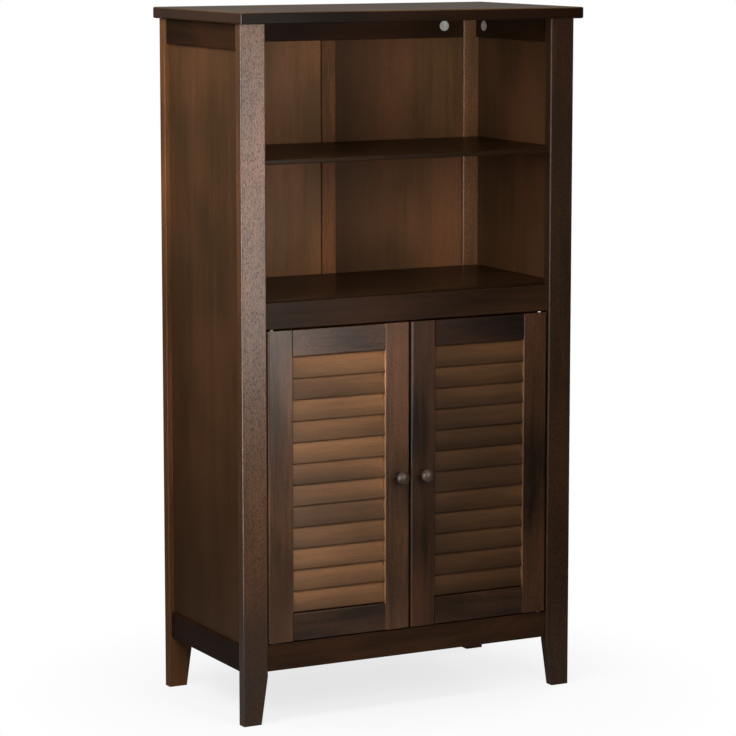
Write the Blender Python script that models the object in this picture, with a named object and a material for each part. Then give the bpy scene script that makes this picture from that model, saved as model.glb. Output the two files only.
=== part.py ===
"""Tall bathroom cabinet: open shelves above a cupboard with two louvred doors on pivot pins.

Metres, +Z up, front towards -Y. The origin is on the floor under the middle of the whole cabinet, knobs included.
"""

import math

import bmesh
import bpy

# Whole cabinet and top board
CABINET_HEIGHT = 1.100
TOP_WIDTH = 0.600
TOP_DEPTH = 0.325
TOP_THICKNESS = 0.018
TOP_EDGE_RADIUS = 0.0025
TOP_FRONT_OVERHANG = 0.018
TOP_BACK_OVERHANG = 0.009
TOP_SIDE_OVERHANG = 0.007

# Clearance between pieces that touch
GAP = 0.0003

# Posts and the feet they taper into
POST_WIDTH = 0.042
POST_THICKNESS = 0.018
POST_EDGE_RADIUS = 0.002
FOOT_WIDTH = 0.031
FOOT_TAPER_HEIGHT = 0.075

# Side rails and the upper rail edges that all sides share
SIDE_RAIL_THICKNESS = 0.014
SIDE_RAIL_RECESS = 0.0045
RAIL_EDGE_RADIUS = 0.0015
TOP_RAIL_HEIGHT = 0.040
BOTTOM_RAIL_HEIGHT = 0.042
BOTTOM_RAIL_CLEARANCE = 0.082

# Thin panels and the grooves that hold them
PANEL_THICKNESS = 0.004
GROOVE_DEPTH = 0.006

# Back frame
BACK_RAIL_THICKNESS = 0.014
BACK_RAIL_RECESS = 0.003
BACK_STILE_WIDTH = 0.025

# Shelves
SHELF_THICKNESS = 0.008
SHELF_EDGE_RADIUS = 0.0015
MIDDLE_SHELF_TOP = 0.877
MIDDLE_SHELF_RECESS = 0.004
FIXED_SHELF_PROUD = 0.003

# Front rails, with a rebate along the back that a shelf lies in
FRONT_RAIL_THICKNESS = 0.018
FRONT_RAIL_RECESS = 0.0037
FRONT_MIDDLE_RAIL_HEIGHT = 0.042
FRONT_MIDDLE_RAIL_LOW = 0.6163
REBATE_WIDTH = 0.008

# Doors
DOOR_THICKNESS = 0.018
DOOR_SETBACK = 0.0015
DOOR_SIDE_GAP = 0.002
DOOR_END_GAP = 0.0022
MEETING_GAP = 0.003
STILE_WIDTH = 0.043
DOOR_TOP_RAIL_HEIGHT = 0.0415
DOOR_BOTTOM_RAIL_HEIGHT = 0.0435
STILE_OUTER_RADIUS = 0.0035
DOOR_INNER_RADIUS = 0.0015

# Slats, housed in slots in the stiles
SLAT_COUNT = 12
SLAT_WIDTH = 0.035
SLAT_THICKNESS = 0.0055
SLAT_EDGE_RADIUS = 0.0015
SLAT_TILT = math.radians(14)
SLAT_RECESS = 0.002
SLOT_DEPTH = 0.005

# Pivot pins
PIN_RADIUS = 0.0025
PIN_REACH = 0.012
PIN_COLLAR_RADIUS = 0.0045
PIN_FROM_EDGE = 0.010
PIN_FROM_FACE = 0.008

# Knobs
KNOB_PROJECTION = 0.025
KNOB_HEAD_RADIUS = 0.011
KNOB_HEAD_LENGTH = 0.016
KNOB_NECK_RADIUS = 0.0050
KNOB_BASE_RADIUS = 0.0075
KNOB_FROM_EDGE = 0.0205

# Magnetic catch behind the front middle rail
CATCH_WIDTH = 0.046
CATCH_DEPTH = 0.014
CATCH_HEIGHT = 0.040
CATCH_NOSE_HEIGHT = 0.014
CATCH_NOSE_REACH = 0.0008
CATCH_HANG = 0.018

# Helper bodies run this far past the faces they cut
OVERRUN = 0.002

# How finely curves are cut, and how much of a wall a fillet may take
ARC_STEPS = 3
TURNED_SIDES = 24
PROFILE_STEPS = 10
FILLET_WALL_SHARE = 0.45
SMOOTH_BELOW = math.radians(35)

# Finishes: colour, roughness, metallic
FRAME_WOOD = ((0.105, 0.070, 0.048), 0.42, 0.0)
PANEL_WOOD = ((0.085, 0.058, 0.040), 0.45, 0.0)
SLAT_WOOD = ((0.190, 0.115, 0.062), 0.40, 0.0)
KNOB_WOOD = ((0.060, 0.042, 0.032), 0.30, 0.0)
PIN_STEEL = ((0.62, 0.61, 0.58), 0.30, 1.0)
CATCH_PLASTIC = ((0.045, 0.035, 0.030), 0.50, 0.0)

# Places worked out from the sizes
KNOB_BEYOND_TOP = max(KNOB_PROJECTION - DOOR_SETBACK - TOP_FRONT_OVERHANG, 0)
TOP_BACK_Y = (TOP_DEPTH + KNOB_BEYOND_TOP) / 2
TOP_FRONT_Y = TOP_BACK_Y - TOP_DEPTH
FRONT_Y = TOP_FRONT_Y + TOP_FRONT_OVERHANG
BACK_Y = TOP_BACK_Y - TOP_BACK_OVERHANG
HALF_WIDTH = TOP_WIDTH / 2 - TOP_SIDE_OVERHANG
POST_INNER_X = HALF_WIDTH - POST_WIDTH
FRONT_POST_BACK_Y = FRONT_Y + POST_THICKNESS
BACK_POST_FRONT_Y = BACK_Y - POST_THICKNESS
POST_TOP_Z = CABINET_HEIGHT - TOP_THICKNESS - GAP
TOP_RAIL_LOW_Z = CABINET_HEIGHT - TOP_THICKNESS - TOP_RAIL_HEIGHT
BOTTOM_RAIL_LOW_Z = BOTTOM_RAIL_CLEARANCE
BOTTOM_RAIL_TOP_Z = BOTTOM_RAIL_CLEARANCE + BOTTOM_RAIL_HEIGHT

SIDE_PANEL_X = HALF_WIDTH - SIDE_RAIL_RECESS - SIDE_RAIL_THICKNESS / 2
SIDE_RAIL_INNER_X = SIDE_PANEL_X - SIDE_RAIL_THICKNESS / 2
SIDE_PANEL_INNER_X = SIDE_PANEL_X - PANEL_THICKNESS / 2
BACK_PANEL_Y = BACK_Y - BACK_RAIL_RECESS - BACK_RAIL_THICKNESS / 2
BACK_RAIL_FRONT_Y = BACK_PANEL_Y - BACK_RAIL_THICKNESS / 2

FRONT_RAIL_FRONT_Y = FRONT_Y + FRONT_RAIL_RECESS
FRONT_RAIL_BACK_Y = FRONT_RAIL_FRONT_Y + FRONT_RAIL_THICKNESS
REBATE_WALL_Y = FRONT_RAIL_BACK_Y - REBATE_WIDTH
FRONT_MIDDLE_RAIL_TOP = FRONT_MIDDLE_RAIL_LOW + FRONT_MIDDLE_RAIL_HEIGHT
FIXED_SHELF_TOP = FRONT_MIDDLE_RAIL_TOP + FIXED_SHELF_PROUD

DOOR_FRONT_Y = FRONT_Y + DOOR_SETBACK
DOOR_MIDDLE_Y = DOOR_FRONT_Y + DOOR_THICKNESS / 2
DOOR_BACK_Y = DOOR_FRONT_Y + DOOR_THICKNESS
DOOR_OUTER_X = POST_INNER_X - DOOR_SIDE_GAP
DOOR_WIDTH = DOOR_OUTER_X - MEETING_GAP / 2
DOOR_LOW_Z = BOTTOM_RAIL_TOP_Z + DOOR_END_GAP
DOOR_HIGH_Z = FRONT_MIDDLE_RAIL_LOW - DOOR_END_GAP
DOOR_MIDDLE_Z = (DOOR_LOW_Z + DOOR_HIGH_Z) / 2
LOUVRE_LOW_Z = DOOR_LOW_Z + DOOR_BOTTOM_RAIL_HEIGHT
LOUVRE_HIGH_Z = DOOR_HIGH_Z - DOOR_TOP_RAIL_HEIGHT
SLAT_RISE = SLAT_WIDTH * math.cos(SLAT_TILT) + SLAT_THICKNESS * math.sin(SLAT_TILT)
SLAT_PITCH = (LOUVRE_HIGH_Z - LOUVRE_LOW_Z - 2 * GAP - SLAT_RISE) / (SLAT_COUNT - 1)
SLAT_FIRST_Z = LOUVRE_LOW_Z + GAP + SLAT_THICKNESS * math.sin(SLAT_TILT)
PIN_X = DOOR_OUTER_X - PIN_FROM_EDGE
PIN_Y = DOOR_FRONT_Y + PIN_FROM_FACE

LEFT = -1
RIGHT = 1
SIDE_NAMES = {LEFT: "left", RIGHT: "right"}


def clear_scene():
    """Start from an empty scene."""
    for obj in list(bpy.data.objects):
        bpy.data.objects.remove(obj, do_unlink=True)


def add_finish(obj, finish):
    """Give the piece a plain material of its own."""
    colour, roughness, metallic = finish
    material = bpy.data.materials.new(obj.name + "_finish")
    material.use_nodes = True
    shader = material.node_tree.nodes["Principled BSDF"]
    shader.inputs["Base Color"].default_value = (*colour, 1.0)
    shader.inputs["Roughness"].default_value = roughness
    shader.inputs["Metallic"].default_value = metallic
    obj.data.materials.append(material)


def make_object(name, points, faces, place):
    """A closed mesh object whose own origin is at place."""
    mesh = bpy.data.meshes.new(name)
    mesh.from_pydata(points, [], faces)
    working = bmesh.new()
    working.from_mesh(mesh)
    bmesh.ops.recalc_face_normals(working, faces=working.faces)
    working.to_mesh(mesh)
    working.free()
    mesh.shade_smooth()
    mesh.set_sharp_from_angle(angle=SMOOTH_BELOW)
    obj = bpy.data.objects.new(name, mesh)
    obj.location = place
    bpy.context.scene.collection.objects.link(obj)
    return obj


def filleted(corners):
    """Outline through (a, b, radius) corners, each rounded by an arc no larger than its walls allow."""
    outline = []
    count = len(corners)
    for index, (a, b, radius) in enumerate(corners):
        if radius == 0:
            outline.append((a, b))
            continue
        before = corners[index - 1]
        after = corners[(index + 1) % count]
        to_before = (before[0] - a, before[1] - b)
        to_after = (after[0] - a, after[1] - b)
        length_before = math.hypot(*to_before)
        length_after = math.hypot(*to_after)
        unit_before = (to_before[0] / length_before, to_before[1] / length_before)
        unit_after = (to_after[0] / length_after, to_after[1] / length_after)
        cosine = unit_before[0] * unit_after[0] + unit_before[1] * unit_after[1]
        half_angle = math.acos(cosine) / 2
        cut = min(radius / math.tan(half_angle), FILLET_WALL_SHARE * min(length_before, length_after))
        radius = cut * math.tan(half_angle)
        middle = (unit_before[0] + unit_after[0], unit_before[1] + unit_after[1])
        reach = radius / math.sin(half_angle) / math.hypot(*middle)
        centre = (a + middle[0] * reach, b + middle[1] * reach)
        start = (a + unit_before[0] * cut, b + unit_before[1] * cut)
        first = math.atan2(start[1] - centre[1], start[0] - centre[0])
        turn = math.pi - 2 * half_angle
        if unit_before[0] * unit_after[1] - unit_before[1] * unit_after[0] > 0:
            turn = -turn
        for step in range(ARC_STEPS + 1):
            angle = first + turn * step / ARC_STEPS
            outline.append((centre[0] + radius * math.cos(angle), centre[1] + radius * math.sin(angle)))
    return outline


def oblong(half_a, half_b, radius):
    """Rounded rectangle about the origin."""
    return filleted([
        (-half_a, -half_b, radius),
        (half_a, -half_b, radius),
        (half_a, half_b, radius),
        (-half_a, half_b, radius),
    ])


def swept(name, rings, stations, along, place):
    """Solid through one outline for each station along an axis: outlines lie in the other two axes, in X, Y, Z order."""
    points = []
    for ring, station in zip(rings, stations):
        for a, b in ring:
            points.append({"X": (station, a, b), "Y": (a, station, b), "Z": (a, b, station)}[along])
    count = len(rings[0])
    faces = [tuple(range(count)), tuple(range(len(points) - count, len(points)))]
    for level in range(len(rings) - 1):
        for index in range(count):
            beside = (index + 1) % count
            low = level * count
            faces.append((low + index, low + beside, low + count + beside, low + count + index))
    return make_object(name, points, faces, place)


def bar(name, outline, length, along, place):
    """Straight bar of one outline, centred on place."""
    return swept(name, [outline, outline], [-length / 2, length / 2], along, place)


def turned(name, profile, place):
    """Round solid about its own Z: (radius, height) points from the axis, out and back to the axis."""
    points = [(0, 0, profile[0][1])]
    faces = []
    rim = profile[1:-1]
    for radius, height in rim:
        for side in range(TURNED_SIDES):
            angle = math.tau * side / TURNED_SIDES
            points.append((radius * math.cos(angle), radius * math.sin(angle), height))
    points.append((0, 0, profile[-1][1]))
    last_ring = 1 + (len(rim) - 1) * TURNED_SIDES
    for side in range(TURNED_SIDES):
        beside = (side + 1) % TURNED_SIDES
        faces.append((0, 1 + side, 1 + beside))
        faces.append((len(points) - 1, last_ring + beside, last_ring + side))
        for level in range(len(rim) - 1):
            low = 1 + level * TURNED_SIDES
            high = low + TURNED_SIDES
            faces.append((low + side, high + side, high + beside, low + beside))
    return make_object(name, points, faces, place)


def cut(obj, cutter):
    """Cut one helper body out of a piece."""
    cutter.hide_render = True
    cutter.display_type = "WIRE"
    boolean = obj.modifiers.new(cutter.name, "BOOLEAN")
    boolean.operation = "DIFFERENCE"
    boolean.object = cutter


def block_cutter(name, low, high):
    """Helper block between two corners."""
    half = [(top - bottom) / 2 for bottom, top in zip(low, high)]
    centre = [(top + bottom) / 2 for bottom, top in zip(low, high)]
    return bar(name, oblong(half[0], half[1], 0), 2 * half[2], "Z", centre)


def round_cutter(name, radius, low, high, x, y):
    """Upright helper cylinder."""
    half = (high - low) / 2
    profile = [(0, -half), (radius, -half), (radius, half), (0, half)]
    return turned(name, profile, (x, y, (low + high) / 2))


def make_top_board():
    """Top board, rounded on every edge."""
    place = (0, (TOP_FRONT_Y + TOP_BACK_Y) / 2, CABINET_HEIGHT - TOP_THICKNESS / 2)
    board = bar("top_board", oblong(TOP_WIDTH / 2, TOP_DEPTH / 2, 0), TOP_THICKNESS, "Z", place)
    rounding = board.modifiers.new("rounded_edges", "BEVEL")
    rounding.width = TOP_EDGE_RADIUS
    rounding.segments = ARC_STEPS
    add_finish(board, FRAME_WOOD)


def make_post(side, at_front):
    """Post whose inner edge tapers to the foot, with a groove for the side panel and, at the back, one more."""
    name = ("front_" if at_front else "back_") + SIDE_NAMES[side] + "_post"
    middle_y = (FRONT_Y + FRONT_POST_BACK_Y) / 2 if at_front else (BACK_Y + BACK_POST_FRONT_Y) / 2
    rings = []
    for width in (FOOT_WIDTH, POST_WIDTH, POST_WIDTH):
        inner = side * (HALF_WIDTH - width)
        outer = side * HALF_WIDTH
        low, high = sorted((inner, outer))
        half = POST_THICKNESS / 2
        rings.append(filleted([
            (low, -half, POST_EDGE_RADIUS),
            (high, -half, POST_EDGE_RADIUS),
            (high, half, POST_EDGE_RADIUS),
            (low, half, POST_EDGE_RADIUS),
        ]))
    post = swept(name, rings, [0, FOOT_TAPER_HEIGHT, POST_TOP_Z], "Z", (0, middle_y, 0))

    groove_half = PANEL_THICKNESS / 2 + GAP
    groove_low = BOTTOM_RAIL_TOP_Z - GROOVE_DEPTH
    groove_high = TOP_RAIL_LOW_Z + GROOVE_DEPTH
    if at_front:
        groove_y = (FRONT_POST_BACK_Y - GROOVE_DEPTH, FRONT_POST_BACK_Y + OVERRUN)
    else:
        groove_y = (BACK_POST_FRONT_Y - OVERRUN, BACK_POST_FRONT_Y + GROOVE_DEPTH)
    panel_x = side * SIDE_PANEL_X
    cut(post, block_cutter(
        name + "_side_groove",
        (panel_x - groove_half, groove_y[0], groove_low),
        (panel_x + groove_half, groove_y[1], groove_high),
    ))
    if not at_front:
        inner_x, deep_x = side * (POST_INNER_X - OVERRUN), side * (POST_INNER_X + GROOVE_DEPTH)
        cut(post, block_cutter(
            name + "_back_groove",
            (min(inner_x, deep_x), BACK_PANEL_Y - groove_half, groove_low),
            (max(inner_x, deep_x), BACK_PANEL_Y + groove_half, groove_high),
        ))
    add_finish(post, FRAME_WOOD)


def grooved_outline(half_thickness, half_height, groove_side):
    """Rail section with a panel groove in its upper (1) or lower (-1) edge."""
    groove_half = PANEL_THICKNESS / 2 + GAP
    floor = half_height - GROOVE_DEPTH
    corners = [
        (-half_thickness, -half_height, RAIL_EDGE_RADIUS),
        (half_thickness, -half_height, RAIL_EDGE_RADIUS),
        (half_thickness, half_height, RAIL_EDGE_RADIUS),
        (groove_half, half_height, 0),
        (groove_half, floor, 0),
        (-groove_half, floor, 0),
        (-groove_half, half_height, 0),
        (-half_thickness, half_height, RAIL_EDGE_RADIUS),
    ]
    return filleted([(a, b * groove_side, radius) for a, b, radius in corners])


def make_side_rails(side):
    """Top and bottom rails of one side, between its two posts."""
    length = BACK_POST_FRONT_Y - FRONT_POST_BACK_Y - 2 * GAP
    middle_y = (BACK_POST_FRONT_Y + FRONT_POST_BACK_Y) / 2
    spans = {
        "top": (TOP_RAIL_LOW_Z, POST_TOP_Z, -1),
        "bottom": (BOTTOM_RAIL_LOW_Z, BOTTOM_RAIL_TOP_Z, 1),
    }
    for level, (low, high, groove_side) in spans.items():
        outline = grooved_outline(SIDE_RAIL_THICKNESS / 2, (high - low) / 2, groove_side)
        place = (side * SIDE_PANEL_X, middle_y, (low + high) / 2)
        rail = bar(f"{SIDE_NAMES[side]}_{level}_side_rail", outline, length, "Y", place)
        add_finish(rail, FRAME_WOOD)


def make_back_rails():
    """Top and bottom rails of the back, between the back posts."""
    spans = {
        "top": (TOP_RAIL_LOW_Z, POST_TOP_Z, -1),
        "bottom": (BOTTOM_RAIL_LOW_Z, BOTTOM_RAIL_TOP_Z, 1),
    }
    for level, (low, high, groove_side) in spans.items():
        outline = grooved_outline(BACK_RAIL_THICKNESS / 2, (high - low) / 2, groove_side)
        place = (0, BACK_PANEL_Y, (low + high) / 2)
        rail = bar(f"back_{level}_rail", outline, 2 * (POST_INNER_X - GAP), "X", place)
        add_finish(rail, FRAME_WOOD)


def make_back_stile():
    """Centre stile of the back, grooved on both edges."""
    half_width = BACK_STILE_WIDTH / 2
    half_thickness = BACK_RAIL_THICKNESS / 2
    groove_half = PANEL_THICKNESS / 2 + GAP
    floor = half_width - GROOVE_DEPTH
    right_edge = [
        (half_width, -half_thickness, RAIL_EDGE_RADIUS),
        (half_width, -groove_half, 0),
        (floor, -groove_half, 0),
        (floor, groove_half, 0),
        (half_width, groove_half, 0),
        (half_width, half_thickness, RAIL_EDGE_RADIUS),
    ]
    left_edge = [(-a, -b, radius) for a, b, radius in right_edge]
    low = BOTTOM_RAIL_TOP_Z + GAP
    high = TOP_RAIL_LOW_Z - GAP
    place = (0, BACK_PANEL_Y, (low + high) / 2)
    stile = bar("back_centre_stile", filleted(right_edge + left_edge), high - low, "Z", place)
    add_finish(stile, FRAME_WOOD)


def make_panels():
    """Thin side and back panels, each standing in the grooves round it."""
    tongue = GROOVE_DEPTH - GAP
    low = BOTTOM_RAIL_TOP_Z - tongue
    high = TOP_RAIL_LOW_Z + tongue
    middle_z = (low + high) / 2
    half_thickness = PANEL_THICKNESS / 2
    half_depth = (BACK_POST_FRONT_Y - FRONT_POST_BACK_Y) / 2 + tongue
    middle_y = (BACK_POST_FRONT_Y + FRONT_POST_BACK_Y) / 2
    inner_edge = BACK_STILE_WIDTH / 2 - tongue
    outer_edge = POST_INNER_X + tongue
    half_width = (outer_edge - inner_edge) / 2
    for side, side_name in SIDE_NAMES.items():
        flank = bar(
            side_name + "_side_panel",
            oblong(half_thickness, half_depth, 0),
            high - low,
            "Z",
            (side * SIDE_PANEL_X, middle_y, middle_z),
        )
        add_finish(flank, PANEL_WOOD)
        back = bar(
            f"back_{side_name}_panel",
            oblong(half_width, half_thickness, 0),
            high - low,
            "Z",
            (side * (inner_edge + outer_edge) / 2, BACK_PANEL_Y, middle_z),
        )
        add_finish(back, PANEL_WOOD)


def make_shelf(name, top, front_y, flank_x, finish):
    """Board notched round the four posts, its front edges rounded."""
    half_between = POST_INNER_X - GAP
    flank_front = FRONT_POST_BACK_Y + GAP
    flank_back = BACK_POST_FRONT_Y - GAP
    back_y = BACK_RAIL_FRONT_Y - GAP
    right_edge = [
        (half_between, front_y),
        (half_between, flank_front),
        (flank_x, flank_front),
        (flank_x, flank_back),
        (half_between, flank_back),
        (half_between, back_y),
    ]
    left_edge = [(-x, y) for x, y in reversed(right_edge)]
    middle_y = (front_y + back_y) / 2
    outline = [(x, y - middle_y) for x, y in right_edge + left_edge]
    shelf = bar(name, outline, SHELF_THICKNESS, "Z", (0, middle_y, top - SHELF_THICKNESS / 2))
    working = bmesh.new()
    working.from_mesh(shelf.data)
    working.edges.ensure_lookup_table()
    front = min(vertex.co.y for vertex in working.verts)
    front_edges = [
        edge for edge in working.edges
        if all(vertex.co.y == front for vertex in edge.verts) and edge.verts[0].co.z == edge.verts[1].co.z
    ]
    bmesh.ops.bevel(
        working,
        geom=front_edges,
        offset=SHELF_EDGE_RADIUS,
        segments=ARC_STEPS,
        profile=0.5,
        affect="EDGES",
    )
    working.to_mesh(shelf.data)
    working.free()
    shelf.data.shade_smooth()
    shelf.data.set_sharp_from_angle(angle=SMOOTH_BELOW)
    add_finish(shelf, finish)


def make_shelves():
    """Middle shelf, the fixed shelf over the cupboard, and the cupboard's floor."""
    panel_flank = SIDE_PANEL_INNER_X - GAP
    rail_flank = SIDE_RAIL_INNER_X - GAP
    rebate_front = REBATE_WALL_Y + GAP
    make_shelf("middle_shelf", MIDDLE_SHELF_TOP, FRONT_Y + MIDDLE_SHELF_RECESS, panel_flank, PANEL_WOOD)
    make_shelf("fixed_shelf", FIXED_SHELF_TOP, rebate_front, panel_flank, PANEL_WOOD)
    make_shelf("cupboard_floor", BOTTOM_RAIL_TOP_Z, rebate_front, rail_flank, PANEL_WOOD)


def make_front_rail(name, low, high, shelf_top, hole_spans):
    """Front rail with a rebate for the shelf behind it and a hole for each pivot pin."""
    half_thickness = FRONT_RAIL_THICKNESS / 2
    half_height = (high - low) / 2
    middle_y = (FRONT_RAIL_FRONT_Y + FRONT_RAIL_BACK_Y) / 2
    middle_z = (low + high) / 2
    ledge = shelf_top - SHELF_THICKNESS - GAP - middle_z
    wall = REBATE_WALL_Y - middle_y
    outline = filleted([
        (-half_thickness, -half_height, RAIL_EDGE_RADIUS),
        (half_thickness, -half_height, RAIL_EDGE_RADIUS),
        (half_thickness, ledge, 0),
        (wall, ledge, 0),
        (wall, half_height, 0),
        (-half_thickness, half_height, RAIL_EDGE_RADIUS),
    ])
    rail = bar(name, outline, 2 * (POST_INNER_X - GAP), "X", (0, middle_y, middle_z))
    for side, side_name in SIDE_NAMES.items():
        hole = round_cutter(f"{name}_{side_name}_hole", PIN_RADIUS + GAP, *hole_spans, side * PIN_X, PIN_Y)
        cut(rail, hole)
    add_finish(rail, FRAME_WOOD)


def make_front_rails():
    """Rail between the doors and the open shelves, and the rail under the doors."""
    middle_hole = (FRONT_MIDDLE_RAIL_LOW - OVERRUN, FRONT_MIDDLE_RAIL_LOW + PIN_REACH + GAP)
    bottom_hole = (BOTTOM_RAIL_TOP_Z - PIN_REACH - GAP, BOTTOM_RAIL_TOP_Z + OVERRUN)
    make_front_rail(
        "front_middle_rail", FRONT_MIDDLE_RAIL_LOW, FRONT_MIDDLE_RAIL_TOP, FIXED_SHELF_TOP, middle_hole
    )
    make_front_rail("front_bottom_rail", BOTTOM_RAIL_LOW_Z, BOTTOM_RAIL_TOP_Z, BOTTOM_RAIL_TOP_Z, bottom_hole)


def hang(obj, hinge):
    """Parent a piece to its door's hinge axis where it stands."""
    obj.parent = hinge
    obj.location -= hinge.location


def slot_cutter(name, side, from_edge, reach):
    """One helper body for all the slat slots of a stile, from a distance off the door's outer edge, reach long."""
    start = side * (DOOR_OUTER_X - from_edge)
    end = side * (DOOR_OUTER_X - from_edge - reach)
    across = (-GAP, SLAT_THICKNESS + GAP)
    up = (-GAP, SLAT_WIDTH + GAP)
    points = []
    faces = []
    for index in range(SLAT_COUNT):
        first = len(points)
        for x in (start, end):
            for a, b in ((across[0], up[0]), (across[1], up[0]), (across[1], up[1]), (across[0], up[1])):
                y = a * math.cos(SLAT_TILT) + b * math.sin(SLAT_TILT)
                z = b * math.cos(SLAT_TILT) - a * math.sin(SLAT_TILT)
                points.append((x, y, z + index * SLAT_PITCH))
        for corner in range(4):
            beside = (corner + 1) % 4
            faces.append((first + corner, first + beside, first + 4 + beside, first + 4 + corner))
        faces.append(tuple(range(first, first + 4)))
        faces.append(tuple(range(first + 4, first + 8)))
    return make_object(name, points, faces, (0, DOOR_FRONT_Y + SLAT_RECESS, SLAT_FIRST_Z))


def make_stile(name, side, from_edge, outer_radius, inner_radius, slots_from):
    """Upright of a door: from_edge is its distance off the door's outer edge."""
    half_width = STILE_WIDTH / 2
    half_thickness = DOOR_THICKNESS / 2
    outline = filleted([
        (side * half_width, -half_thickness, outer_radius),
        (-side * half_width, -half_thickness, inner_radius),
        (-side * half_width, half_thickness, inner_radius),
        (side * half_width, half_thickness, outer_radius),
    ])
    place = (side * (DOOR_OUTER_X - from_edge - half_width), DOOR_MIDDLE_Y, DOOR_MIDDLE_Z)
    stile = bar(name, outline, DOOR_HIGH_Z - DOOR_LOW_Z, "Z", place)
    cut(stile, slot_cutter(name + "_slots", side, slots_from, SLOT_DEPTH + OVERRUN))
    add_finish(stile, FRAME_WOOD)
    return stile


def make_door_rail(name, side, low, high):
    """Level member of a door between its stiles."""
    length = DOOR_WIDTH - 2 * (STILE_WIDTH + GAP)
    outline = oblong(DOOR_THICKNESS / 2, (high - low) / 2, DOOR_INNER_RADIUS)
    place = (side * (DOOR_OUTER_X - DOOR_WIDTH / 2), DOOR_MIDDLE_Y, (low + high) / 2)
    rail = bar(name, outline, length, "X", place)
    add_finish(rail, FRAME_WOOD)
    return rail


def make_slat(name, side, index):
    """Slat leaning back at its upper edge, its origin on its lower front edge."""
    half_thickness = SLAT_THICKNESS / 2
    half_width = SLAT_WIDTH / 2
    outline = [
        (a + half_thickness, b + half_width)
        for a, b in oblong(half_thickness, half_width, SLAT_EDGE_RADIUS)
    ]
    length = DOOR_WIDTH - 2 * (STILE_WIDTH - SLOT_DEPTH + GAP)
    place = (
        side * (DOOR_OUTER_X - DOOR_WIDTH / 2),
        DOOR_FRONT_Y + SLAT_RECESS,
        SLAT_FIRST_Z + index * SLAT_PITCH,
    )
    slat = bar(name, outline, length, "X", place)
    slat.rotation_euler = (-SLAT_TILT, 0, 0)
    add_finish(slat, SLAT_WOOD)
    return slat


def make_knob(name, side):
    """Turned knob: a waisted neck and a rounded head, its axis square to the door."""
    length = KNOB_PROJECTION - GAP
    head_half = KNOB_HEAD_LENGTH / 2
    head_middle = length - head_half
    neck_angle = math.asin(KNOB_NECK_RADIUS / KNOB_HEAD_RADIUS)
    neck_end = head_middle - head_half * math.cos(neck_angle)
    profile = [(0, 0)]
    for step in range(PROFILE_STEPS // 2):
        share = step / (PROFILE_STEPS // 2)
        flare = (KNOB_BASE_RADIUS - KNOB_NECK_RADIUS) * (1 - share) ** 2
        profile.append((KNOB_NECK_RADIUS + flare, neck_end * share))
    for step in range(PROFILE_STEPS):
        angle = neck_angle + (math.pi - neck_angle) * step / PROFILE_STEPS
        profile.append((KNOB_HEAD_RADIUS * math.sin(angle), head_middle - head_half * math.cos(angle)))
    profile.append((0, length))
    place = (side * (DOOR_OUTER_X - DOOR_WIDTH + KNOB_FROM_EDGE), DOOR_FRONT_Y - GAP, DOOR_MIDDLE_Z)
    knob = turned(name, profile, place)
    knob.rotation_euler = (math.pi / 2, 0, 0)
    add_finish(knob, KNOB_WOOD)
    return knob


def make_pin(name, side, middle_z):
    """Pivot pin with a collar that fills the gap between the door's end and the rail."""
    half_collar = DOOR_END_GAP / 2 - GAP
    half_pin = DOOR_END_GAP / 2 + PIN_REACH
    profile = [
        (0, -half_pin),
        (PIN_RADIUS, -half_pin),
        (PIN_RADIUS, -half_collar),
        (PIN_COLLAR_RADIUS, -half_collar),
        (PIN_COLLAR_RADIUS, half_collar),
        (PIN_RADIUS, half_collar),
        (PIN_RADIUS, half_pin),
        (0, half_pin),
    ]
    pin = turned(name, profile, (side * PIN_X, PIN_Y, middle_z))
    add_finish(pin, PIN_STEEL)


def make_door(side):
    """One door with its knob, hung on an empty that stands on the pins' axis, and its two pins."""
    door = SIDE_NAMES[side] + "_door"
    hinge = bpy.data.objects.new(door + "_hinge_axis", None)
    hinge.location = (side * PIN_X, PIN_Y, DOOR_LOW_Z)
    bpy.context.scene.collection.objects.link(hinge)

    hinge_stile = make_stile(
        door + "_hinge_stile", side, 0, STILE_OUTER_RADIUS, DOOR_INNER_RADIUS, STILE_WIDTH - SLOT_DEPTH
    )
    hole_spans = {
        "low": (DOOR_LOW_Z - OVERRUN, DOOR_LOW_Z + PIN_REACH + GAP),
        "high": (DOOR_HIGH_Z - PIN_REACH - GAP, DOOR_HIGH_Z + OVERRUN),
    }
    for level, (low, high) in hole_spans.items():
        hole = round_cutter(f"{door}_{level}_hole", PIN_RADIUS + GAP, low, high, side * PIN_X, PIN_Y)
        cut(hinge_stile, hole)
    meeting_start = DOOR_WIDTH - STILE_WIDTH
    pieces = [
        hinge_stile,
        make_stile(
            door + "_meeting_stile", side, meeting_start, DOOR_INNER_RADIUS, STILE_OUTER_RADIUS,
            meeting_start - OVERRUN,
        ),
        make_door_rail(door + "_bottom_rail", side, DOOR_LOW_Z, LOUVRE_LOW_Z),
        make_door_rail(door + "_top_rail", side, LOUVRE_HIGH_Z, DOOR_HIGH_Z),
        make_knob(door + "_knob", side),
    ]
    for index in range(SLAT_COUNT):
        pieces.append(make_slat(f"{door}_slat_{index + 1:02d}", side, index))
    for piece in pieces:
        hang(piece, hinge)
    make_pin(door + "_bottom_pin", side, BOTTOM_RAIL_TOP_Z + DOOR_END_GAP / 2)
    make_pin(door + "_top_pin", side, FRONT_MIDDLE_RAIL_LOW - DOOR_END_GAP / 2)


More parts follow.
